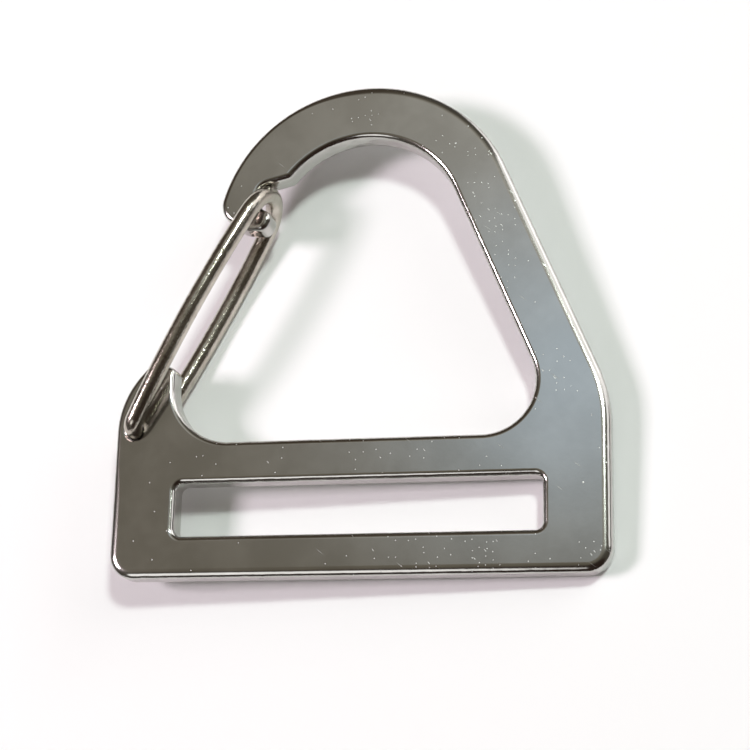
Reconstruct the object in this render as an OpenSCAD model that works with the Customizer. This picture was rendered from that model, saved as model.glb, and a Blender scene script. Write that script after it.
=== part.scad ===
// Flat snap hook with a sprung wire gate.
// One stamped steel plate: a webbing slot at the foot and an open hook above.
// One bent wire: a leg over each face, with both ends in one bore of the lug.
// The origin is the middle of the webbing slot, halfway through the plate.
// X runs along the slot, Y up the hook and Z out of the face.

/* [Webbing slot] */
// Length of the slot, for 38 mm webbing with running room
slot_len = 38.6; // [34:0.1:42]
// Height of the slot
slot_h = 5.6; // [4.5:0.1:6.5]
// Radius in the corners of the slot
slot_r = 0.8; // [0.6:0.1:1.5]

/* [Plate] */
// Thickness of the stamped plate
plate_t = 3; // [2.6:0.1:3.2]
// Radius that tumbling leaves along every edge of the plate
rim_r = 0.47; // [0.3:0.01:0.5]
// Width of the metal between each end of the slot and the side edge
side_w = 6.9; // [6.4:0.1:8]
// Width of the bar below the slot
foot_bar = 4.4; // [3:0.1:6]
// Width of the bar between the slot and the hook
waist_bar = 4.4; // [3:0.1:6]
// Radius at the two lower corners
foot_r = 2.6; // [1:0.1:4]

/* [Hook] */
// Width of the metal all along the hook
hook_w = 5.95; // [5:0.05:6.5]
// Radius of the inside of the arch
arch_r = 10.5; // [9.5:0.1:11]
// Height of the arch's centre above the waist bar
arch_h = 22.95; // [22:0.05:25]
// How far the straight limb leans from upright, in degrees
limb_lean = 23.2; // [21:0.1:25]
// Radius in the inner corner at the foot of the limb
limb_foot_r = 5.6; // [4:0.1:7]
// Height above the waist bar at which the limb's outer edge meets the side edge
limb_hip_h = 4.05; // [3:0.05:6]
// Radius of the bend between the limb and the side edge
limb_hip_r = 15; // [8:0.5:20]

/* [Gate lug] */
// Width of the lug that carries the gate
lug_w = 6.2; // [5.6:0.1:6.6]
// Height of the lug above the waist bar
lug_h = 8.5; // [8:0.1:9.5]
// Radius of the lug's back
lug_back_r = 9.5; // [9:0.1:10]
// Radius in the inner corner at the foot of the lug
lug_foot_r = 6.2; // [4:0.1:7]
// Radius of the two corners at the lug's top
lug_tip_r = 0.9; // [0.6:0.1:1.2]
// Distance of the bore from the side edge
bore_edge = 2.05; // [1.9:0.05:2.6]
// Height of the bore above the waist bar
bore_h = 1.4; // [1:0.1:2.5]

/* [Wire gate] */
// Diameter of the gate wire
wire_d = 1.9; // [1.6:0.1:2]
// Clearance all round the wire in its bore
bore_clear = 0.08; // [0.04:0.01:0.1]
// Width of the bevel round each mouth of the bore
bore_bevel = 0.2; // [0.1:0.05:0.3]
// Gap between the two wire ends inside the bore
end_gap = 0.4; // [0.2:0.1:0.8]
// Distance from the bore to the wire across the gate's free end
gate_len = 29.6; // [28:0.1:31]
// Distance of the closed gate's free end outside the inside of the arch
gate_seat = 1.17; // [0.9:0.01:1.4]
// Radius of the bend across the gate's free end
end_bend_r = 3.7; // [3.2:0.1:4]
// Radius of the outward bow of each leg
leg_bow_r = 75; // [65:1:100]
// Widest distance of a leg from the middle of the plate
leg_spread = 4.45; // [4.3:0.05:4.6]
// Radius of the elbow that turns each leg into the bore
elbow_r = 1.5; // [1.2:0.1:1.6]

/* [Nose] */
// How far round the arch the nose runs past the gate's free end, in degrees
nose_past = 8.8; // [6:0.1:12]
// Radius of the nose's outer corner
nose_r = 2.4; // [1.5:0.1:3]
// Angle between the nose's underside and the tooth's, in degrees
nose_bend = 28.5; // [24:0.5:34]
// Distance from the middle of the closed gate to the tooth
notch_low_w = 1.9; // [1.6:0.1:2.1]
// Distance from the middle of the closed gate to the notch's upper side
notch_high_w = 1.1; // [1.1:0.05:1.5]
// Angle between the notch's upper side and the arch's radius, in degrees
notch_lean = 37; // [30:1:44]
// Radius in the bottom of the notch
notch_r = 1.4; // [1.1:0.05:1.5]
// Gap between the closed gate and the bottom of the notch
rest_gap = 0.15; // [0.1:0.05:0.3]
// Reach of the tooth past the middle of the closed gate
tooth_reach = 1.55; // [1.2:0.05:2]
// Thickness of the tooth
tooth_w = 2.1; // [1.8:0.1:2.3]
// Radius of the tooth's two corners
tooth_r = 1; // [0.8:0.05:1]
// Angle between the tooth's underside and the arch's radius, in degrees
tooth_lean = 18; // [12:1:26]
// Radius of the shoulder between the notch and the arch
shoulder_r = 0.65; // [0.6:0.05:1]

/* [Hidden] */

plate_col = [0.52, 0.51, 0.48];
gate_col = [0.62, 0.60, 0.57];

edge_x = slot_len / 2 + side_w;
foot_y = -slot_h / 2 - foot_bar;
waist_y = slot_h / 2 + waist_bar;
lug_x = -edge_x + lug_w;
lug_y = waist_y + lug_h;
bore_c = [-edge_x + bore_edge, waist_y + bore_h];
bore_d = wire_d + 2 * bore_clear;
arch_out_r = arch_r + hook_w;

// Steps in a rounded rim, and the widest step round an arc in degrees
rim_steps = 4;
arc_step = 9;
// How far a cutter reaches out of the metal
over = 1;
// Points closer than this are one point, and turns below this are none
weld = 0.001;
tiny = 1e-9;
wire_fn = 48;
bow_fn = 720;

function heading(a) = [cos(a), sin(a)];
// The angle of v from 0 up to 360 degrees
function angle_of(v) = (atan2(v.y, v.x) + 360) % 360;
function unit(v) = v / norm(v);

// Where the line through p along u meets the line through q along v
function crossing(p, u, q, v) =
    p + u * cross(q - p, v) / cross(u, v);

// An arc is [centre, radius, first angle, last angle]. An outline runs
// anticlockwise, so a corner that sticks out has a rising angle and a hollow
// one a falling angle. A straight stretch joins each arc to the next.
function corner(a, b, c, r) =
    let (into = unit(b - a),
         away = unit(c - b),
         side = sign(cross(into, away)),
         bend = acos(into * away),
         mid = b + unit(away - into) * r / cos(bend / 2),
         first = atan2(-side * into.x, side * into.y))
    [mid, r, first, first + side * bend];

// An inset draws the outline inwards: sharper corners, wider hollows
function arc_points(arc, inset) =
    let (span = arc[3] - arc[2],
         steps = max(3, ceil(abs(span) / arc_step)),
         r = arc[1] - sign(span) * inset)
    [for (i = [0 : steps]) arc[0] + r * heading(arc[2] + span * i / steps)];

// Where two arcs meet with no straight stretch between, their shared point
// counts once
function joined(before, arc) =
    norm(before[0] + before[1] * heading(before[3]) - arc[0] - arc[1] * heading(arc[2])) < weld;

function ring(arcs, inset, z) =
    [for (i = [0 : len(arcs) - 1])
        let (pts = arc_points(arcs[i], inset),
             first = joined(arcs[(i + len(arcs) - 1) % len(arcs)], arcs[i]) ? 1 : 0)
        for (k = [first : len(pts) - 1]) [pts[k].x, pts[k].y, z]];

// The rounded rim from the wall to the flat face: [height, inset] at each step
function rim_level(i) =
    let (a = 90 * i / rim_steps)
    [plate_t / 2 - rim_r * (1 - sin(a)), rim_r * (1 - cos(a))];

// A hollow outline's flat face is cut into triangles one ear at a time: a
// corner is an ear if it sticks out and its triangle holds no other point
function turn(a, b, c) = cross(b - a, c - a);
function holds(a, b, c, p) = min(turn(a, b, p), turn(b, c, p), turn(c, a, p)) > tiny;

function is_ear(pts, i, j, k, left) =
    turn(pts[i], pts[j], pts[k]) > tiny
    && len([for (q = left)
            if (q != i && q != j && q != k && holds(pts[i], pts[j], pts[k], pts[q])) q]) == 0;

function ears(pts, left, at = 0, cut = []) =
    len(left) == 3 ? concat(cut, [left]) :
    let (n = len(left), i = left[(at + n - 1) % n], j = left[at % n], k = left[(at + 1) % n])
    is_ear(pts, i, j, k, left)
        ? ears(pts, [for (q = left) if (q != j) q], (at + 1) % (n - 1), concat(cut, [[i, j, k]]))
        : ears(pts, left, (at + 1) % n, cut);

// A closed solid through rings that all have as many points
module skin(rings) {
    n = len(rings[0]);
    top = (len(rings) - 1) * n;
    cap = ears([for (p = rings[0]) [p.x, p.y]], [for (i = [0 : n - 1]) i]);
    polyhedron(
        points = [for (r = rings) each r],
        faces = [
            each cap,
            for (f = cap) [top + f[2], top + f[1], top + f[0]],
            for (k = [0 : n : top - n], i = [0 : n - 1])
                let (j = (i + 1) % n)
                each [[k + j, k + i, k + n + i], [k + j, k + n + i, k + n + j]]
        ]
    );
}

// The limb's outer edge runs up from the hip at its lean, and the arch's centre
// lies at its own height, as far from that edge as the arch's outer radius
limb_n = heading(limb_lean);
limb_u = heading(limb_lean + 90);
limb_hip = [edge_x, waist_y + limb_hip_h];
arch_c = crossing(limb_hip - arch_out_r * limb_n, limb_u, [0, waist_y + arch_h], [1, 0]);
limb_in = arch_c + arch_r * limb_n;
limb_out = arch_c + arch_out_r * limb_n;
limb_foot = crossing([0, waist_y], [1, 0], limb_in, limb_u);

lug_back_c = [-edge_x + lug_back_r, bore_c.y];
lug_back_a = asin((lug_y - bore_c.y - lug_tip_r) / lug_back_r);
lug_back_end = lug_back_c + lug_back_r * heading(180 - lug_back_a);
lug_back_top = crossing([0, lug_y], [1, 0], lug_back_end, heading(90 - lug_back_a));

// The closed gate's free end lies gate_len from the bore and gate_seat outside
// the inside of the arch, so the gate's angle is that of a triangle's corner
rest_r = arch_r + gate_seat;
reach = arch_c - bore_c;
reach_len = norm(reach);
gate_angle = atan2(reach.y, reach.x)
    + acos((gate_len ^ 2 + reach_len ^ 2 - rest_r ^ 2) / (2 * gate_len * reach_len));

rest_c = bore_c + gate_len * heading(gate_angle);
rest_a = angle_of(rest_c - arch_c);

// The notch and tooth lie round the closed gate's free end. A point there is
// placed by how far it lies up the arch, and in towards the arch's centre.
function by_rest(up, inward) =
    rest_c + up * heading(rest_a - 90) + inward * heading(rest_a + 180);

notch_floor = -wire_d / 2 - rest_gap;
tooth_foot = by_rest(-notch_low_w - tooth_w, tooth_reach);
tooth_top = by_rest(-notch_low_w, tooth_reach);
notch_foot = by_rest(-notch_low_w, notch_floor);
side_u = heading(rest_a + 180 + notch_lean);
side_n = heading(rest_a - 90 + notch_lean);
side_foot = rest_c + notch_high_w * side_n;
notch_top = crossing(side_foot, side_u, notch_foot, heading(rest_a - 90));

// The nose's outer corner carries straight on from the arch
nose_a = rest_a + nose_past;
nose_end_a = rest_a + 90 + tooth_lean - nose_bend;
nose_c = arch_c + (arch_out_r - nose_r) * heading(nose_a);
nose_end = nose_c + nose_r * heading(nose_end_a);
nose_foot = crossing(nose_end, heading(nose_end_a + 90),
                     tooth_foot, heading(rest_a + 180 + tooth_lean));

// The shoulder touches the notch's upper side and the inside of the arch
shoulder_q = side_foot + shoulder_r * side_n - arch_c;
shoulder_up = shoulder_q * side_u;
shoulder_in = -shoulder_up
    - sqrt(shoulder_up ^ 2 - shoulder_q * shoulder_q + (arch_r + shoulder_r) ^ 2);
shoulder_c = arch_c + shoulder_q + shoulder_in * side_u;
shoulder_a = angle_of(shoulder_c - arch_c);

plate_outline = [
    corner([-edge_x, 0], [-edge_x, foot_y], [0, foot_y], foot_r),
    corner([0, foot_y], [edge_x, foot_y], [edge_x, 0], foot_r),
    corner([edge_x, 0], limb_hip, limb_out, limb_hip_r),
    [arch_c, arch_out_r, limb_lean, nose_a],
    [nose_c, nose_r, nose_a, nose_end_a],
    corner(nose_end, nose_foot, tooth_foot, nose_r),
    corner(nose_foot, tooth_foot, tooth_top, tooth_r),
    corner(tooth_foot, tooth_top, notch_foot, tooth_r),
    corner(tooth_top, notch_foot, notch_top, notch_r),
    corner(notch_foot, notch_top, notch_top + side_u, notch_r),
    [shoulder_c, shoulder_r, rest_a + 90 + notch_lean, shoulder_a + 180],
    [arch_c, arch_r, shoulder_a, limb_lean],
    corner(limb_in, limb_foot, [0, waist_y], limb_foot_r),
    corner([0, waist_y], [lug_x, waist_y], [lug_x, lug_y], lug_foot_r),
    corner([lug_x, waist_y], [lug_x, lug_y], lug_back_top, lug_tip_r),
    corner([lug_x, lug_y], lug_back_top, lug_back_end, lug_tip_r),
    [lug_back_c, lug_back_r, 180 - lug_back_a, 180]
];

slot_corner = [slot_len / 2 - slot_r, slot_h / 2 - slot_r];
slot_outline = [
    [slot_corner, slot_r, 0, 90],
    [[-slot_corner.x, slot_corner.y], slot_r, 90, 180],
    [-slot_corner, slot_r, 180, 270],
    [[slot_corner.x, -slot_corner.y], slot_r, 270, 360]
];

module plate_blank() {
    levels = [
        for (i = [rim_steps : -1 : 0]) let (l = rim_level(i)) [-l[0], l[1]],
        for (i = [0 : rim_steps]) rim_level(i)
    ];
    skin([for (l = levels) ring(plate_outline, l[1], l[0])]);
}

// The slot's own rims are rounded like the plate's, so its cutter flares. The
// last step of the rounding carries straight on out of the face.
module slot_cutter() {
    last_step = rim_level(rim_steps) - rim_level(rim_steps - 1);
    flare = [for (i = [0 : rim_steps - 1]) rim_level(i), rim_level(rim_steps) + 2 * last_step];
    levels = [
        for (i = [rim_steps : -1 : 0]) [-flare[i][0], flare[i][1]],
        each flare
    ];
    skin([for (l = levels) ring(slot_outline, -l[1], l[0])]);
}

module bore_cutter() {
    bevel_h = bore_bevel + over;
    cylinder(h = plate_t + 2 * over, d = bore_d, center = true, $fn = wire_fn);
    for (side = [0, 1])
        mirror([0, 0, side])
            translate([0, 0, plate_t / 2 - bore_bevel])
                cylinder(h = bevel_h, d1 = bore_d, d2 = bore_d + 2 * bevel_h, $fn = wire_fn);
}

module hook_plate() {
    color(plate_col)
        difference() {
            plate_blank();
            slot_cutter();
            translate([bore_c.x, bore_c.y, 0]) bore_cutter();
        }
}

// The gate's centre line lies in one plane through the bore's axis. It is a
// chain of tangent arcs: the end bend, the bowed leg, the elbow, and the
// straight end in the bore. Places in that plane are [along, height].
end_bend_c = [gate_len - end_bend_r, 0];
leg_fall = acos((leg_bow_r - leg_spread) / (leg_bow_r - end_bend_r));
leg_c = end_bend_c - (leg_bow_r - end_bend_r) * [sin(leg_fall), cos(leg_fall)];
leg_rise = asin((leg_c.x - elbow_r) / (leg_bow_r - elbow_r));
elbow_c = [elbow_r, leg_c.y + (leg_bow_r - elbow_r) * cos(leg_rise)];

// Bending draws the wire a hair thinner, and each straight or bowed stretch
// laps that far over the bends at its ends
bend_thin = 0.01;
lap = 0.03;

// Wire of diameter d round c with radius r, from angle a to angle b
module arc_wire(d, c, r, a, b, fn) {
    translate([c.x, 0, c.y])
        rotate([90, 0, 0])
            rotate([0, 0, a])
                rotate_extrude(angle = b - a, $fn = fn)
                    translate([r, 0])
                        circle(d = d, $fn = wire_fn);
}

module gate_leg() {
    lap_a = lap / leg_bow_r * 180 / PI;
    translate([0, 0, end_gap / 2])
        cylinder(h = elbow_c.y + lap - end_gap / 2, d = wire_d, $fn = wire_fn);
    arc_wire(wire_d - bend_thin, elbow_c, elbow_r, 90 + leg_rise, 180, wire_fn);
    arc_wire(wire_d, leg_c, leg_bow_r, 90 - leg_fall - lap_a, 90 + leg_rise + lap_a, bow_fn);
}

module wire_gate() {
    color(gate_col)
        translate([bore_c.x, bore_c.y, 0])
            rotate([0, 0, gate_angle]) {
                arc_wire(wire_d - bend_thin, end_bend_c, end_bend_r,
                         leg_fall - 90, 90 - leg_fall, wire_fn);
                for (side = [0, 1])
                    mirror([0, 0, side])
                        gate_leg();
            }
}

hook_plate();
wire_gate();
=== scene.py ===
# %% [markdown]
# A flat snap hook with a sprung wire gate.
# The hook is two pieces of nickel-plated steel: a stamped plate with a webbing
# slot at its foot and an open hook above, and one bent wire that closes the
# hook. Both are plain shapes, so nearly all of their look is in the edges and
# in what the plating reflects. The lesson builds the two surfaces with numpy,
# gives each its own plating, and then lights them for a polished metal.

import bpy
import numpy as np
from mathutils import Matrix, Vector
from mathutils.geometry import tessellate_polygon


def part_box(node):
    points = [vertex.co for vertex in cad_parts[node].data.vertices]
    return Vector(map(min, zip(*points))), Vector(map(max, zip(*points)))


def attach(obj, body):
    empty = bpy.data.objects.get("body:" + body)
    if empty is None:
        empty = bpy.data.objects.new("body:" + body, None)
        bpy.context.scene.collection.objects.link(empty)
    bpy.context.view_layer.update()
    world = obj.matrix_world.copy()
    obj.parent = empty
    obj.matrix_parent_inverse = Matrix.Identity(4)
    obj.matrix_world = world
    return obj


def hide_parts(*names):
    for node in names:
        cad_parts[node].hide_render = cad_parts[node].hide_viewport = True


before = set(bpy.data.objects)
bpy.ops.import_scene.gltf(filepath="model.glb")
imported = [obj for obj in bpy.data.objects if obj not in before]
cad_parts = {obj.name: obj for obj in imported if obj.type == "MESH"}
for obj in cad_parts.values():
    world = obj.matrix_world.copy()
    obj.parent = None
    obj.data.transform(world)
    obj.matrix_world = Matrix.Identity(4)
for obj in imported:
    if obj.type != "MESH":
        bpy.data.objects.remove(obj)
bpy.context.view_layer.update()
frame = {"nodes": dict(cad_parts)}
mm = 0.001
print("pieces in the frame:", ", ".join(frame["nodes"]))

# %% [markdown]
# The sizes of the hook.
# The frame gives the outer box of the plate, so the width, the lower edge and
# the thickness are read from it. The rest are the few driving sizes of the
# outline, in millimetres, and every other place follows from them.

# %% Sizes of the plate
plate_low, plate_high = (np.array(corner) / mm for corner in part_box("hook_plate"))
edge_x = plate_high[0]
foot_y = plate_low[1]
plate_t = plate_high[2] - plate_low[2]

slot_len, slot_h, slot_r = 38.6, 5.6, 0.8
rim_r = 0.62
foot_r = 2.6
waist_y = slot_h / 2 + 4.4
hook_w, arch_r, arch_h = 5.95, 10.5, 22.95
limb_lean, limb_foot_r, limb_hip_h, limb_hip_r = 23.2, 5.6, 4.05, 15.0
lug_w, lug_h, lug_back_r, lug_foot_r, lug_tip_r = 6.2, 8.5, 9.5, 6.2, 0.9
bore_edge, bore_h, bore_bevel = 2.05, 1.4, 0.2
print(f"plate {2 * edge_x:.1f} mm wide and {plate_t:.1f} mm thick")

# %% Sizes of the gate and the nose
wire_d, bore_clear, end_gap = 1.9, 0.08, 0.4
gate_len, gate_seat = 29.6, 1.17
end_bend_r, leg_bow_r, leg_spread, elbow_r = 3.7, 75.0, 4.45, 1.5
nose_past, nose_r, nose_bend = 8.8, 2.4, 28.5
notch_low_w, notch_high_w, notch_lean, notch_r, rest_gap = 1.9, 1.1, 37.0, 1.4, 0.15
tooth_reach, tooth_w, tooth_r, tooth_lean, shoulder_r = 1.55, 2.1, 1.0, 18.0, 0.65

arch_out_r = arch_r + hook_w
lug_x = lug_w - edge_x
lug_y = waist_y + lug_h
bore_c = np.array([bore_edge - edge_x, waist_y + bore_h])
print("the gate turns about", bore_c.round(2))

# %% [markdown]
# Plane geometry with arcs.
# A die cutter's drawing is straight lines and arcs that touch. The outline is
# kept in the same way: a list of arcs, each a centre, a radius, a first angle
# and a last angle, and a straight stretch joins each arc to the next. Points
# from a photograph's edge would be wavy, and would show in a mirror finish.

# %% Headings and crossings
def heading(angle):
    """The unit vector at an angle in degrees: (cos a, sin a). An array of angles gives rows."""
    turn = np.radians(angle)
    return np.stack([np.cos(turn), np.sin(turn)], -1)


def cross2(u, v):
    """The plane cross product: u.x v.y - u.y v.x."""
    return u[0] * v[1] - u[1] * v[0]


def angle_of(v):
    """The angle of v in degrees, from 0 up to 360."""
    return np.degrees(np.arctan2(v[1], v[0])) % 360


def crossing(p, u, q, v):
    """Where the line through p along u meets the line through q along v. It is
    p + u (q - p) x v / u x v."""
    return p + u * cross2(q - p, v) / cross2(u, v)


print("a heading of 30 degrees is", heading(30).round(3))

# %% Rounding a corner
def corner(a, b, c, r):
    """The arc of radius r that rounds corner b of the path a, b, c. Its centre lies on the
    corner's bisector at r / cos(half the bend) from b."""
    a, b, c = (np.array(p, float) for p in (a, b, c))
    into = (b - a) / np.linalg.norm(b - a)
    away = (c - b) / np.linalg.norm(c - b)
    side = np.sign(cross2(into, away))
    bend = np.arccos(into @ away)
    inward = (away - into) / np.linalg.norm(away - into)
    first = np.degrees(np.arctan2(-side * into[0], side * into[1]))
    return b + inward * r / np.cos(bend / 2), r, first, first + side * np.degrees(bend)


centre, _, first, last = corner((-edge_x, 0), (-edge_x, foot_y), (0, foot_y), foot_r)
print(f"the foot's corner runs from {first:.0f} to {last:.0f} degrees round", centre.round(2))

# %% The arch, the limb and the lug
limb_n, limb_u = heading(limb_lean), heading(limb_lean + 90)
limb_hip = np.array([edge_x, waist_y + limb_hip_h])
level = np.array([1.0, 0.0])
arch_c = crossing(limb_hip - arch_out_r * limb_n, limb_u, np.array([0, waist_y + arch_h]), level)
limb_in = arch_c + arch_r * limb_n
limb_out = arch_c + arch_out_r * limb_n
limb_foot = crossing(np.array([0, waist_y]), level, limb_in, limb_u)

lug_back_c = np.array([lug_back_r - edge_x, bore_c[1]])
lug_back_a = np.degrees(np.arcsin((lug_y - bore_c[1] - lug_tip_r) / lug_back_r))
lug_back_end = lug_back_c + lug_back_r * heading(180 - lug_back_a)
lug_back_top = crossing(np.array([0, lug_y]), level, lug_back_end, heading(90 - lug_back_a))
print("the arch's centre is at", arch_c.round(2))

# %% [markdown]
# The nose.
# The closed gate's free end rests in a notch behind a small tooth, so the nose
# is placed round that end. Two lengths fix it: the gate's own, from the bore,
# and how deep it sits in the arch. The gate's angle is then a corner of a
# triangle whose three sides are known.

# %% The closed gate's free end
reach = arch_c - bore_c
reach_len = np.linalg.norm(reach)
rest_r = arch_r + gate_seat
cos_rest = (gate_len**2 + reach_len**2 - rest_r**2) / (2 * gate_len * reach_len)
gate_angle = angle_of(reach) + np.degrees(np.arccos(cos_rest))
rest_c = bore_c + gate_len * heading(gate_angle)
rest_a = angle_of(rest_c - arch_c)
print(f"the closed gate stands at {gate_angle:.2f} degrees")

# %% The notch and the tooth
def by_rest(up, inward):
    """A point placed from the gate's free end: so far up the arch, and so far towards the
    arch's centre. It is end + up * heading(a - 90) + inward * heading(a + 180)."""
    return rest_c + up * heading(rest_a - 90) + inward * heading(rest_a + 180)


notch_floor = -wire_d / 2 - rest_gap
tooth_foot = by_rest(-notch_low_w - tooth_w, tooth_reach)
tooth_top = by_rest(-notch_low_w, tooth_reach)
notch_foot = by_rest(-notch_low_w, notch_floor)
side_u = heading(rest_a + 180 + notch_lean)
side_n = heading(rest_a - 90 + notch_lean)
side_foot = rest_c + notch_high_w * side_n
notch_top = crossing(side_foot, side_u, notch_foot, heading(rest_a - 90))
print("the tooth's top is at", tooth_top.round(2))

# %% The nose's outer corner and the shoulder
nose_a = rest_a + nose_past
nose_end_a = rest_a + 90 + tooth_lean - nose_bend
nose_c = arch_c + (arch_out_r - nose_r) * heading(nose_a)
nose_end = nose_c + nose_r * heading(nose_end_a)
tooth_under = heading(rest_a + 180 + tooth_lean)
nose_foot = crossing(nose_end, heading(nose_end_a + 90), tooth_foot, tooth_under)

# The shoulder's arc touches the notch's side and the inside of the arch, so its centre
# is on a line beside the one and on a circle round the other: a quadratic equation.
shoulder_q = side_foot + shoulder_r * side_n - arch_c
shoulder_up = shoulder_q @ side_u
shoulder_c_r = arch_r + shoulder_r
shoulder_root = np.sqrt(shoulder_up**2 - shoulder_q @ shoulder_q + shoulder_c_r**2)
shoulder_c = arch_c + shoulder_q - (shoulder_up + shoulder_root) * side_u
shoulder_a = angle_of(shoulder_c - arch_c)
print("the nose's foot is at", nose_foot.round(2))

# %% The three loops of the plate
outer_loop = [
    corner((-edge_x, 0), (-edge_x, foot_y), (0, foot_y), foot_r),
    corner((0, foot_y), (edge_x, foot_y), (edge_x, 0), foot_r),
    corner((edge_x, 0), limb_hip, limb_out, limb_hip_r),
    (arch_c, arch_out_r, limb_lean, nose_a),
    (nose_c, nose_r, nose_a, nose_end_a),
    corner(nose_end, nose_foot, tooth_foot, nose_r),
    corner(nose_foot, tooth_foot, tooth_top, tooth_r),
    corner(tooth_foot, tooth_top, notch_foot, tooth_r),
    corner(tooth_top, notch_foot, notch_top, notch_r),
    corner(notch_foot, notch_top, notch_top + side_u, notch_r),
    (shoulder_c, shoulder_r, rest_a + 90 + notch_lean, shoulder_a + 180),
    (arch_c, arch_r, shoulder_a, limb_lean),
    corner(limb_in, limb_foot, (0, waist_y), limb_foot_r),
    corner((0, waist_y), (lug_x, waist_y), (lug_x, lug_y), lug_foot_r),
    corner((lug_x, waist_y), (lug_x, lug_y), lug_back_top, lug_tip_r),
    corner((lug_x, lug_y), lug_back_top, lug_back_end, lug_tip_r),
    (lug_back_c, lug_back_r, 180 - lug_back_a, 180),
]
# A hole's loop runs clockwise, so the metal is always on the left of the path.
slot_x, slot_y = slot_len / 2 - slot_r, slot_h / 2 - slot_r
slot_loop = [
    (np.array([slot_x, slot_y]), slot_r, 90, 0),
    (np.array([slot_x, -slot_y]), slot_r, 0, -90),
    (np.array([-slot_x, -slot_y]), slot_r, 270, 180),
    (np.array([-slot_x, slot_y]), slot_r, 180, 90),
]
bore_loop = [(bore_c, wire_d / 2 + bore_clear, 360, 0)]
print("the outline has", len(outer_loop), "arcs and the slot has", len(slot_loop))

# %% [markdown]
# The stamped plate.
# The blank is cut from sheet, and then tumbled until every edge is round. The
# solid model has a smaller rounding in four steps, which a mirror finish shows
# as stripes, so this surface replaces it with a finer and wider one on the
# same outline. At the right and the foot the picture shows the edge most worn,
# and there it is wider than it is high. Subdivision would soften the corners
# by an amount that is hard to name. Here the rim is a function of two
# parameters instead: the place along the outline, and the angle round the edge
# from the back face to the front face. Its normals come from the same formula,
# so light runs over it without a step.

# %% Points and outward normals along a loop
arc_step = 2.5
straight_step = 1.5
fewest_arc_steps = 4
no_gap = 1e-3


def loop_path(arcs):
    """(centres, signed radii, headings) along a closed loop. On an arc the point is
    centre + radius * heading, and the outward normal is sign(last - first) * heading. A
    straight stretch is a run of points whose centres slide from one arc's to the next's."""
    centres, radii, normals = [], [], []
    for arc, after in zip(arcs, arcs[1:] + arcs[:1]):
        c, r, first, last = arc
        side = np.sign(last - first)
        steps = max(fewest_arc_steps, int(np.ceil(abs(last - first) / arc_step)))
        turn = heading(np.linspace(first, last, steps + 1))
        end, start = c + r * turn[-1], after[0] + after[1] * heading(after[2])
        gap = np.linalg.norm(start - end)
        kept = steps + 1 if gap > no_gap else steps
        centres.append(np.repeat(c[None], kept, 0))
        radii.append(np.full(kept, side * r))
        normals.append(side * turn[:kept])
        if gap > no_gap:
            pieces = max(2, int(gap / straight_step) + 1)
            between = np.linspace(0, 1, pieces + 1)[1:-1, None]
            centres.append(c + (start - end) * between)
            radii.append(np.full(len(between), side * r))
            normals.append(np.repeat(side * turn[-1:], len(between), 0))
    return np.concatenate(centres), np.concatenate(radii), np.concatenate(normals)


print("the outline has", len(loop_path(outer_loop)[0]), "points")

# %% Where tumbling wore the edges most
outer_spread = 0.6
eye_middle = np.array([0.0, 18.0])
outside_ramp = 0, 6
right_ramp = -10, 0
foot_ramp = 6, 1


def ease(value, low, high):
    """0 at low and 1 at high, whichever is greater, on the curve 3 t^2 - 2 t^3 between."""
    t = np.clip((value - low) / (high - low), 0, 1)
    return t * t * (3 - 2 * t)


def wear(outline, outward):
    """How worn the edge is at each point, from 0 to 1. A point counts if it faces away
    from the middle of the eye, (p - middle) . outward, and lies at the right or the foot:
    the product of the first and of the greater of the other two, each eased over its ramp."""
    outside = ease(((outline - eye_middle) * outward).sum(-1), *outside_ramp)
    right, foot = ease(outline[:, 0], *right_ramp), ease(outline[:, 1], *foot_ramp)
    return outside * np.maximum(right, foot)


print(f"the widest rolled edge is {rim_r * (1 + outer_spread):.2f} mm wide and {rim_r} mm high")

# %% The rolled edge
rim_steps = 10
wall_steps = 4


def rolled_edge(arcs, r, spread):
    """A grid of points and normals: rows go round the edge and columns along the loop.
    At angle a the point is inset by w (1 - cos a) from the outline and lies at height
    (t / 2 - r) + r sin a, a quarter of an ellipse, whose normal is r cos a outward + w sin a
    up. The width w is r (1 + spread * wear). The back half mirrors the front half, and the
    wall between them is flat."""
    centres, radii, outward = loop_path(arcs)
    width = r * (1 + spread * wear(centres + radii[:, None] * outward, outward))
    up = np.linspace(0, np.pi / 2, rim_steps + 1)
    angle = np.concatenate([-up[::-1], np.zeros(wall_steps - 1), up])[:, None]
    top = np.full(rim_steps + 1, plate_t / 2 - r)
    wall = np.linspace(-top[0], top[0], wall_steps + 1)[1:-1]
    height = np.concatenate([-top, wall, top])[:, None] + r * np.sin(angle)
    plan = centres + (radii - width * (1 - np.cos(angle)))[..., None] * outward
    height = np.broadcast_to(height[..., None], plan.shape[:2] + (1,))
    sideways, upward = np.broadcast_arrays(r * np.cos(angle), width * np.sin(angle))
    slope = np.stack([sideways, upward], -1) / np.hypot(sideways, upward)[..., None]
    normals = np.concatenate([slope[..., :1] * outward, slope[..., 1:]], -1)
    return np.concatenate([plan, height], -1), normals


def ring_faces(rows, columns, start=0):
    """Quads between the rows of a grid whose columns close on themselves. A point's number
    is start + row * columns + column."""
    row, col = np.meshgrid(np.arange(rows - 1), np.arange(columns), indexing="ij")
    after = (col + 1) % columns
    here, above = row * columns, (row + 1) * columns
    quads = np.stack([here + col, here + after, above + after, above + col], -1)
    return (quads.reshape(-1, 4) + start).tolist()


print("a rim has", 2 * (rim_steps + 1) + wall_steps - 1, "rows from face to face")

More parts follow.
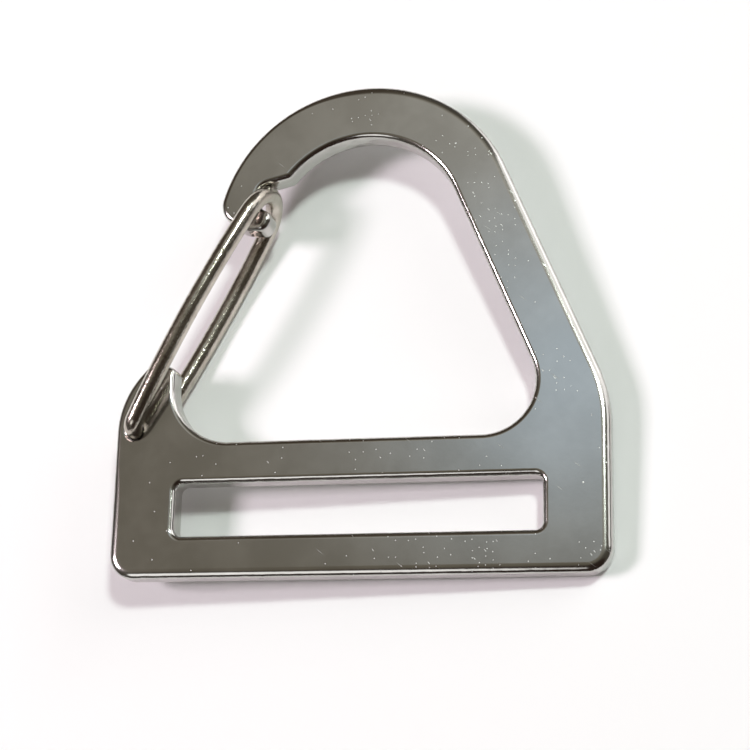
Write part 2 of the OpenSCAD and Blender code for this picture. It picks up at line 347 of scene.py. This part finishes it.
# %% A mesh with its own normals
def make_mesh(name, points, normals, faces, body):
    """A smooth mesh object at the origin, from points in millimetres and a normal for each."""
    mesh = bpy.data.meshes.new(name)
    mesh.from_pydata((points * mm).tolist(), [], faces)
    mesh.polygons.foreach_set("use_smooth", np.ones(len(mesh.polygons), bool))
    mesh.validate()
    mesh.update()
    mesh.normals_split_custom_set_from_vertices(normals.tolist())
    piece = bpy.data.objects.new(name, mesh)
    bpy.context.scene.collection.objects.link(piece)
    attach(piece, body)
    print(name, "has", len(points), "points and", len(faces), "faces")
    return piece


# %% The plate's three rims
rims = [(outer_loop, rim_r, outer_spread), (slot_loop, rim_r, 0.0), (bore_loop, bore_bevel, 0.0)]
grids, plate_faces, back_loops, front_loops = [], [], [], []
start = 0
for loop, r, spread in rims:
    grid = np.stack(rolled_edge(loop, r, spread))
    rows, columns = grid.shape[1:3]
    plate_faces += ring_faces(rows, columns, start)
    back_loops.append(start + np.arange(columns))
    front_loops.append(back_loops[-1] + (rows - 1) * columns)
    grids.append(grid.reshape(2, -1, 3))
    start += rows * columns
plate_points, plate_normals = np.concatenate(grids, 1)
print("the three rims have", start, "points")

# %% The plate's two faces
def flat_face(loops, up):
    """Triangles across a face with holes, whose loops hold the points' numbers. Where the
    area (b - a) x (c - a) has the wrong sign, the triangle is turned, so that its normal
    points up or down as asked."""
    corners = tessellate_polygon([[Vector(p) for p in plate_points[loop]] for loop in loops])
    tri = np.concatenate(loops)[np.array(corners)]
    a, b, c = (plate_points[tri[:, i], :2].T for i in range(3))
    wrong = cross2(b - a, c - a) * up < 0
    tri[wrong] = tri[wrong, ::-1]
    return tri.tolist()


plate_faces += flat_face(back_loops, -1) + flat_face(front_loops, 1)
plate = make_mesh("hook_plate_fine", plate_points, plate_normals, plate_faces,
                  "plate")
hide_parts("hook_plate")
edge = plate.data.attributes.new("edge", "FLOAT", "POINT")
edge.data.foreach_set("value", (1 - np.abs(plate_normals[:, 2])).astype(np.float32))

# %% [markdown]
# The wire gate.
# One wire is bent into a long loop: a leg runs over each face of the plate,
# they meet in a bend that lies in the notch, and both ends turn into the one
# bore. Pushing the gate twists the legs, and that is its spring. A Blender
# curve with a bevel would do, but its rings bunch up in tight bends. Here the
# centre line is a chain of touching arcs, and the tube is a circle carried
# along it, so that every ring is square to the wire.

# %% The arcs of one leg
end_bend_c = np.array([gate_len - end_bend_r, 0.0])
leg_fall = np.degrees(np.arccos((leg_bow_r - leg_spread) / (leg_bow_r - end_bend_r)))
leg_c = end_bend_c - (leg_bow_r - end_bend_r) * heading(90 - leg_fall)
leg_rise = np.degrees(np.arcsin((leg_c[0] - elbow_r) / (leg_bow_r - elbow_r)))
elbow_c = leg_c + (leg_bow_r - elbow_r) * heading(90 + leg_rise)
print(f"a leg leaves its elbow at {leg_rise:.1f} degrees and ends at {-leg_fall:.1f} degrees")

# %% The gate's centre line
bend_step = 6.0
bow_step = 0.6
fewest_bend_steps = 3
pin_steps = 4


def leg_line():
    """Points and left-hand normals of one leg, in the plane of (along the gate, height):
    up the pin, round the elbow, along the bow, and round half of the end bend. On each
    arc the point is centre + radius * heading(a), and heading(a) is the normal."""
    arcs = [(elbow_c, elbow_r, 180, 90 + leg_rise, bend_step),
            (leg_c, leg_bow_r, 90 + leg_rise, 90 - leg_fall, bow_step),
            (end_bend_c, end_bend_r, 90 - leg_fall, 0, bend_step)]
    line = [np.linspace([0, end_gap / 2], [0, elbow_c[1]], pin_steps + 1)[:-1]]
    out = [np.tile([-1.0, 0.0], (pin_steps, 1))]
    for c, r, first, last, step in arcs:
        steps = max(fewest_bend_steps, int(np.ceil(abs(last - first) / step)))
        turn = heading(np.linspace(first, last, steps + 1))[:-1]
        line.append(c + r * turn)
        out.append(turn)
    return np.concatenate(line), np.concatenate(out)


leg, leg_out = leg_line()
wire_line = np.concatenate([leg, [[gate_len, 0.0]], leg[::-1] * [1, -1]])
wire_out = np.concatenate([leg_out, [[1.0, 0.0]], leg_out[::-1] * [1, -1]])
wire_len = np.linalg.norm(np.diff(wire_line, axis=0), axis=1).sum()
print(f"the wire is about {wire_len:.1f} mm long")

# %% The tube and its rounded ends
wire_sides = 48
end_steps = 5
end_round = 0.3
# The ring runs clockwise as seen along the wire, so that its quads face outwards.
round_angle = -np.linspace(0, 2 * np.pi, wire_sides, endpoint=False)


def wire_surface():
    """Rings of the tube: centre + R (cos b out + sin b side), where side is square to the
    gate's plane. At each end R shrinks to a small flat on a quarter circle of radius e: at
    angle d it is wire / 2 - e (1 - cos d), at e (1 - sin d) in from the end, and the normal
    tips by d."""
    down = np.linspace(np.pi / 2, 0, end_steps + 1)[:-1]
    back = end_round * (1 - np.sin(down))[:, None] * np.array([0.0, 1.0])
    centres = np.concatenate([wire_line[0] + back, wire_line[1:-1], wire_line[-1] - back[::-1]])
    outs = np.repeat(wire_out, [end_steps] + [1] * (len(wire_out) - 2) + [end_steps], axis=0)
    tip = np.concatenate([-down, np.zeros(len(wire_line) - 2), down[::-1]])[:, None]
    radii = wire_d / 2 - end_round * (1 - np.cos(tip))
    ahead = np.stack([outs[:, 1], -outs[:, 0]], -1)
    ring = np.cos(round_angle)[:, None] * outs[:, None]
    plane = centres[:, None] + radii[..., None] * ring
    plane_n = np.cos(tip)[..., None] * ring + (np.sin(tip) * ahead)[:, None]
    side = np.sin(round_angle)
    return plane, radii * side, plane_n, np.cos(tip) * side


plane, side, plane_n, side_n = wire_surface()
print("the tube has", len(plane), "rings")

# %% The gate in its place
gate_u, gate_v = heading(gate_angle), heading(gate_angle + 90)


def to_hook(plane, side, origin):
    """Places the gate's own (along, height) and distance to its side in the hook's frame:
    x and y are origin + along * u + side * v, and z is the height."""
    xy = origin + plane[..., :1] * gate_u + side[..., None] * gate_v
    return np.concatenate([xy, plane[..., 1:]], -1).reshape(-1, 3)


gate_points = to_hook(plane, side, bore_c)
gate_normals = to_hook(plane_n, side_n, np.zeros(2))
first_ring = np.arange(wire_sides)
last_ring = first_ring + (len(plane) - 1) * wire_sides
gate_faces = ring_faces(len(plane), wire_sides) + [first_ring[::-1].tolist(), last_ring.tolist()]
gate = make_mesh("wire_gate_fine", gate_points, gate_normals, gate_faces, "gate")
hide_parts("wire_gate")

# %% Along the wire
# The drawing lines on a wire run along it, so its pattern needs a coordinate
# that follows the bends: the distance along the wire and the place round it.
run = np.linalg.norm(np.diff(plane.mean(1), axis=0), axis=1).cumsum()
follow = np.zeros((len(plane), wire_sides, 3), np.float32)
follow[1:, :, 0] = run[:, None] * mm
follow[..., 1:] = heading(np.degrees(round_angle)) * wire_d / 2 * mm
attribute = gate.data.attributes.new("along_wire", "FLOAT_VECTOR", "POINT")
attribute.data.foreach_set("vector", follow.ravel())
print(f"the pattern runs {run[-1]:.1f} mm along the wire")

# %% [markdown]
# Shader maths.
# A plating is built from noise, and noise is combined with sums and products.
# Wiring Math nodes by hand hides that, so one small class wraps a socket and
# lets Python's operators add the nodes. A second class holds a node tree, and
# its one method adds any other node.

# %% A socket that can be added and multiplied
class Wave:
    """A shader socket that carries a value. Python operators on it add Math nodes."""

    def __init__(self, nodes, socket):
        self.nodes, self.socket = nodes, socket

    def math(self, operation, *others):
        """This value and the others, put through one Math node."""
        values = dict(enumerate((self,) + others))
        return self.nodes.node("ShaderNodeMath", {"operation": operation}, values)

    def step(self, low, high):
        """0 at low and 1 at high, whichever is greater, and smooth between."""
        values = {"Value": self, "From Min": low, "From Max": high}
        return self.nodes.node("ShaderNodeMapRange", {"interpolation_type": "SMOOTHSTEP"}, values)

    def __add__(self, other):
        return self.math("ADD", other)

    def __mul__(self, other):
        return self.math("MULTIPLY", other)

    def __rsub__(self, other):
        return self * -1.0 + other

    __radd__, __rmul__ = __add__, __mul__


# %% A node tree
class Nodes:
    """The nodes of a material or of the world."""

    def __init__(self, tree):
        self.tree = tree

    def plug(self, slot, value):
        """Links a socket into a slot, or sets the slot's own value."""
        if isinstance(value, Wave):
            self.tree.links.new(value.socket, slot)
        elif value is not None:
            slot.default_value = value

    def node(self, kind, settings=None, values=None, out=0):
        """Adds a node, makes its settings, fills its sockets, and returns one output."""
        made = self.tree.nodes.new(kind)
        for name, value in (settings or {}).items():
            setattr(made, name, value)
        for name, value in (values or {}).items():
            self.plug(made.inputs[name], value)
        return Wave(self, made.outputs[out])

    def mix(self, factor, a, b):
        """Colour a where the factor is 0, and b where it is 1."""
        # A Mix node's colours are its inputs 6 and 7 and its output 2.
        return self.node("ShaderNodeMix", {"data_type": "RGBA"}, {0: factor, 6: a, 7: b}, 2)


# %% A metal's finish
class Finish(Nodes):
    """A material, and the patterns that platings are made of."""

    def __init__(self, name):
        self.material = bpy.data.materials.new(name)
        self.material.use_nodes = True
        super().__init__(self.material.node_tree)
        self.shader = self.tree.nodes["Principled BSDF"]

    def set(self, **values):
        """Fills sockets of the material's shader, with _ for each space in their names."""
        for name, value in values.items():
            self.plug(self.shader.inputs[name.replace("_", " ")], value)

    def noise(self, where, scale, detail=2.0, roughness=0.5):
        """Noise from 0 to 1, with its features about 1 / scale metres wide."""
        values = {"Vector": where, "Scale": scale, "Detail": detail, "Roughness": roughness}
        return self.node("ShaderNodeTexNoise", values=values)

    def stretch(self, where, scale, angle=0.0):
        """The place, turned about Z and then scaled on each axis, for a pattern that runs
        one way."""
        turn = {"Vector": where, "Rotation": (0, 0, np.radians(angle))}
        turned = self.node("ShaderNodeMapping", values=turn)
        return self.node("ShaderNodeMapping", values={"Vector": turned, "Scale": scale})

    def marks(self, where, scale, core, rim, share):
        """Small marks, one in a share of the cells of a scattered grid: 1 inside the core
        radius and 0 outside the rim radius, both as parts of a cell."""
        flat, place = {"voronoi_dimensions": "2D"}, {"Vector": where, "Scale": scale}
        near = self.node("ShaderNodeTexVoronoi", flat, place, "Distance")
        draw = self.node("ShaderNodeTexVoronoi", flat, place, "Color")
        lot = self.node("ShaderNodeSeparateColor", values={"Color": draw})
        return (1.0 - near.step(core, rim)) * lot.math("LESS_THAN", share)

    def bump(self, height, depth, under=None):
        """A normal that is tipped as if the surface rose by height times depth, in metres."""
        values = {"Height": height, "Distance": depth, "Normal": under}
        return self.node("ShaderNodeBump", values=values)


# %% [markdown]
# The plate's plating.
# Bright nickel over tumbled steel is a mirror that is a little soft: the metal
# under it is very slightly wavy, the plating has a fine grain that blurs what
# it reflects, and a used hook has hairlines, a few nicks and specks of dust.
# They lie in patches, and more of them at the right, as in the picture. The
# waves, the grain and the tumbled edges' dents go to the normal, and the
# hairlines and specks go to the roughness and the colour.

# %% Nickel on the plate
nickel_low, nickel_high = (0.485, 0.47, 0.445, 1), (0.555, 0.54, 0.515, 1)
scratch_color, dust_color = (0.74, 0.74, 0.73, 1), (0.92, 0.92, 0.91, 1)
worn_from, worn_full = -22 * mm, 24 * mm
wave_depth, grain_depth, dent_depth = 0.03 * mm, 0.0008 * mm, 0.1 * mm
nick_cells, nick_turn = (420, 1900, 500), 52
hair_cells, hair_turn = (130, 2000, 400), 38


def plate_plating():
    """Metal whose colour and roughness are sums of clouds, specks and hairlines, each times
    how often it occurs, and whose normal is tipped by waves, then grain, then dents."""
    finish = Finish("plate_nickel")
    where = finish.node("ShaderNodeTexCoord", out="Object")
    across = finish.node("ShaderNodeSeparateXYZ", values={"Vector": where}, out="X")
    edge = finish.node("ShaderNodeAttribute", {"attribute_name": "edge"}, out="Fac")
    flat = 1.0 - edge

    worn = across.step(worn_from, worn_full) * 0.22 + 0.03
    patches = worn * finish.noise(where, 110, detail=1.0).step(0.42, 0.68)
    dust = finish.marks(where, 1400, core=0.04, rim=0.11, share=patches * 1.3 + 0.012)
    big_dust = finish.marks(where, 300, core=0.01, rim=0.04, share=patches * 0.3 + 0.02)
    nick_place = finish.stretch(where, nick_cells, nick_turn)
    nicks = finish.marks(nick_place, 1, core=0.03, rim=0.10, share=patches * 0.6)
    hair_place = finish.stretch(where, hair_cells, hair_turn)
    hairs = finish.marks(hair_place, 1, core=0.02, rim=0.10, share=worn * 0.4)
    specks = (dust * 0.9 + big_dust + nicks * 0.8).math("MINIMUM", 1.0) * flat

    clouds = finish.noise(where, 160, detail=3.0, roughness=0.6)
    metal = finish.mix(clouds.step(0.35, 0.70), nickel_low, nickel_high)
    scored = finish.mix(hairs * flat * 0.5, metal, scratch_color)
    color = finish.mix(specks * 0.75, scored, dust_color)
    rough = clouds * 0.05 + hairs * 0.15 + specks * 0.4 + 0.12

    waves = finish.noise(where, 90, detail=1.0)
    grain = finish.noise(where, 2600, detail=3.0, roughness=0.6)
    dents = finish.noise(where, 900, detail=1.0) * edge
    soft = finish.bump(waves, wave_depth)
    fine = finish.bump(grain, grain_depth, under=soft)
    tumbled = finish.bump(dents, dent_depth, under=fine)
    finish.set(Base_Color=color, Metallic=1.0, Roughness=rough, Normal=tumbled)
    return finish.material


plate.data.materials.append(plate_plating())
print("the plate's plating has", len(plate.active_material.node_tree.nodes), "nodes")

# %% [markdown]
# The wire's plating.
# The wire was drawn through a die before it was bent, so its faint lines run
# along it. They follow the attribute that the mesh carries. Its plating is a
# little browner and duller than the plate's, and its pits break up the long
# line of light into sparkles.

# %% Nickel on the wire
brown_low, brown_high = (0.45, 0.405, 0.35, 1), (0.57, 0.53, 0.47, 1)
line_cells = (160, 5200, 5200)
line_depth, pit_depth = 0.004 * mm, 0.032 * mm


def wire_plating():
    """Metal whose colour follows the clouds, whose roughness is a sum of clouds and drawn
    lines, and whose normal is tipped by the lines and then by the pits."""
    finish = Finish("wire_nickel")
    where = finish.node("ShaderNodeAttribute", {"attribute_name": "along_wire"}, out="Vector")
    drawn = finish.noise(finish.stretch(where, line_cells), 1.0, detail=3.0, roughness=0.6)
    clouds = finish.noise(where, 420, detail=3.0, roughness=0.6)
    pits = finish.noise(where, 3600)
    color = finish.mix(clouds.step(0.35, 0.7), brown_low, brown_high)
    rough = 0.11 + clouds * 0.10 + drawn * 0.08
    lined = finish.bump(drawn, line_depth)
    dented = finish.bump(pits, pit_depth, under=lined)
    finish.set(Base_Color=color, Metallic=1.0, Roughness=rough, Normal=dented)
    return finish.material


gate.data.materials.append(wire_plating())
print("the wire's plating has", len(gate.active_material.node_tree.nodes), "nodes")

# %% [markdown]
# The floor.
# The hook doesn't lie flat: the gate's back leg holds one side up, so it leans
# on that leg and on its lower right corner. How far it leans is read from the
# widths of its shadows. The floor is turned instead of the hook, because the
# hook keeps its own frame, and it is as high as it can be without cutting in.

# %% The plane that the hook rests on
lean = np.array([0.060, -0.048])
all_points = np.concatenate([plate_points, gate_points])
rest_z = (all_points[:, 2] - all_points[:, :2] @ lean).min()
floor_normal = Vector((-lean[0], -lean[1], 1.0)).normalized()
floor_lean = np.degrees(np.arctan(np.hypot(*lean)))
print(f"the floor leans by {floor_lean:.1f} degrees, {-rest_z:.2f} mm below the origin")

# %% A sheet of white card
sheet_size = 1.0
card_white = 0.95
card_glow = 0.05

bpy.ops.mesh.primitive_plane_add(size=sheet_size)
floor = bpy.context.object
floor.name = "floor"
floor.rotation_euler = floor_normal.to_track_quat("Z", "Y").to_euler()
floor.location = (0, 0, rest_z * mm)


def card():
    """Matt white card. To a ray that a piece mirrored, it is (1 - glow) card + glow white
    light, which lifts the places that mirror the hook's own shadow."""
    finish = Finish("white_card")
    finish.set(Base_Color=(card_white, card_white, card_white, 1), Roughness=1.0,
               Specular_IOR_Level=0.0)
    matt = Wave(finish, finish.shader.outputs[0])
    light = finish.node("ShaderNodeEmission", values={"Color": (1.0, 1.0, 1.0, 1)})
    mirrored = finish.node("ShaderNodeLightPath", out="Is Glossy Ray")
    mixed = finish.node("ShaderNodeMixShader", values={0: mirrored * card_glow, 1: matt, 2: light})
    finish.plug(finish.tree.nodes["Material Output"].inputs["Surface"], mixed)
    return finish.material


floor.data.materials.append(card())
print("the card is", sheet_size, "m wide")

# %% [markdown]
# The room in the mirror.
# A polished plate shows the room, so the room is part of its look. Where the
# camera's view is mirrored by the face, the room is dim and olive at the left
# and opens to a cool glow at the right, which is the slow change of tone over
# the face. The rolled edges look further round, to the dark walls low down and
# to a few patches. A bright one low at the upper right whitens the limb's
# edge, a small one higher at the right whitens the plate's right side, another
# at the lower left draws the line inside the arch, and two dark ones give the
# brown edges between them. A picture wrapped round the scene would do, but its
# patches could not be moved one by one. Here each is a direction and a width
# on the world, and the camera itself sees white.

# %% The world
world = bpy.data.worlds.new("room")
bpy.context.scene.world = world
world.use_nodes = True
room = Nodes(world.node_tree)
looked = room.node("ShaderNodeTexCoord", out="Generated")
wide, narrow = 40.0, 380.0


def towards(direction):
    """How well the direction looked in agrees with this one, as the cosine between them:
    1 along it and 0 square to it."""
    values = {0: looked, 1: Vector(direction).normalized()}
    return room.node("ShaderNodeVectorMath", {"operation": "DOT_PRODUCT"}, values, "Value")


def glowing(sky, direction, power, color):
    """The sky with a glow on it, which fades as the cosine to the power given."""
    return room.mix(towards(direction).math("POWER", power), sky, color)


half_faded = np.degrees(np.arccos(0.5 ** (1 / np.array([wide, narrow]))))
print("the two glows fade to half at", half_faded.round(1), "degrees")

# %% The painted sky
dark, dim = (0.085, 0.075, 0.058, 1), (0.178, 0.160, 0.122, 1)
pale, cool = (0.545, 0.53, 0.48, 1), (0.84, 1.03, 1.20, 1)
wall_color, wall_foot, wall_top = (0.10, 0.095, 0.09, 1), 0.20, 0.50
shade, dusk = (0.035, 0.022, 0.016, 1), (0.085, 0.068, 0.05, 1)
bright = (1.6, 1.6, 1.6, 1)

overhead = towards((-0.25, 0.30, 0.92)).step(0.75, 0.92)
sky = room.mix(overhead, dark, dim)
sky = glowing(sky, (-0.06, 0.40, 0.915), wide, pale)
sky = glowing(sky, (-0.104, 0.283, 0.954), narrow, cool)
height = room.node("ShaderNodeSeparateXYZ", values={0: looked}, out="Z")
sky = room.mix(height.step(wall_top, wall_foot), sky, wall_color)

# Each patch: its direction, the cosines at which it starts and is full, and its colour.
patches = [
    ((0.70, 0.71, 0.06), 0.87, 0.95, bright),
    ((0.20, -0.72, 0.66), 0.78, 0.88, shade),
    ((-0.55, 0.75, 0.36), 0.77, 0.91, dusk),
    ((-0.29, -0.64, 0.71), 0.970, 0.988, bright),
    ((0.80, 0.32, 0.50), 0.966, 0.985, bright),
]
for direction, start, full, color in patches:
    sky = room.mix(towards(direction).step(start, full), sky, color)
print("the sky has", len(patches), "patches")

# %% White to the camera, the room to everything else
# A new world has one plain background, and these two take its place.
room.tree.nodes.remove(room.tree.nodes["Background"])
seen = room.node("ShaderNodeLightPath", out="Is Camera Ray")
lit = room.node("ShaderNodeBackground", values={"Color": sky})
backdrop = room.node("ShaderNodeBackground", values={"Color": (1, 1, 1, 1)})
both = room.node("ShaderNodeMixShader", values={0: seen, 1: lit, 2: backdrop})
room.plug(room.tree.nodes["World Output"].inputs["Surface"], both)
print("the room has", len(room.tree.nodes), "nodes")

# %% [markdown]
# The lamps.
# The picture has two shadows, so it had two main lights. A small one at the
# upper right is a little green and a small one at the left is a little pink,
# and each shadow takes the tint of the other light. Their directions and
# sizes come from the shadows' edges. A tall, faint window behind the first
# one is there for the rolled edge of the limb, which mirrors it as a white band.

# %% Soft lamps
lamp_distance = 0.8


def soft_lamp(name, direction, width, height, power, color):
    """An area lamp that faces the middle of the eye, at middle + distance * direction. Its
    width is level and its height leans with the direction."""
    data = bpy.data.lights.new(name, "AREA")
    data.shape = "RECTANGLE"
    data.size, data.size_y, data.energy, data.color = width, height, power, color
    lamp = bpy.data.objects.new(name, data)
    away = Vector(direction).normalized()
    lamp.location = Vector((*eye_middle * mm, 0)) + away * lamp_distance
    lamp.rotation_euler = away.to_track_quat("Z", "Y").to_euler()
    bpy.context.scene.collection.objects.link(lamp)
    print(f"{name}: {power} W, {width} m by {height} m")


soft_lamp("right_lamp", (0.315, 0.327, 0.891), 0.10, 0.10, 2.8, (0.89, 1.0, 0.935))
soft_lamp("window_lamp", (0.56, 0.58, 0.59), 0.28, 0.54, 0.66, (1.0, 1.0, 1.0))
soft_lamp("left_lamp", (-0.718, -0.038, 0.695), 0.20, 0.20, 4.0, (1.0, 0.88, 0.965))

# %% [markdown]
# The camera.
# The photograph was taken by hand from the lower right, close enough that the
# near side looks larger. The pose below was found by fitting the slot, the
# bars and the arch to the picture, and is written as three turns and how far
# the hook lies from the lens.

# %% The camera
turn_x, turn_y, turn_z = 16.04, 12.64, 1.37
aim_right, aim_up, stand_off = 1.81, 13.72, 191.2
focal_px, frame_px = 1858.3, 750
sensor = 36.0

view = bpy.data.cameras.new("camera")
view.sensor_width = view.sensor_height = sensor
view.sensor_fit = "HORIZONTAL"
view.lens = focal_px / frame_px * sensor
view.clip_start = 0.01
camera = bpy.data.objects.new("camera", view)
camera.rotation_mode = "ZXY"
camera.rotation_euler = np.radians((turn_x, turn_y, turn_z))
bpy.context.scene.collection.objects.link(camera)
bpy.context.view_layer.update()
camera.location = camera.matrix_world.to_3x3() @ Vector((aim_right, aim_up, stand_off)) * mm
bpy.context.scene.camera = camera
bpy.context.scene.view_settings.view_transform = "Standard"
print(f"a lens of {view.lens:.1f} mm, {camera.location.length / mm:.0f} mm from the origin")
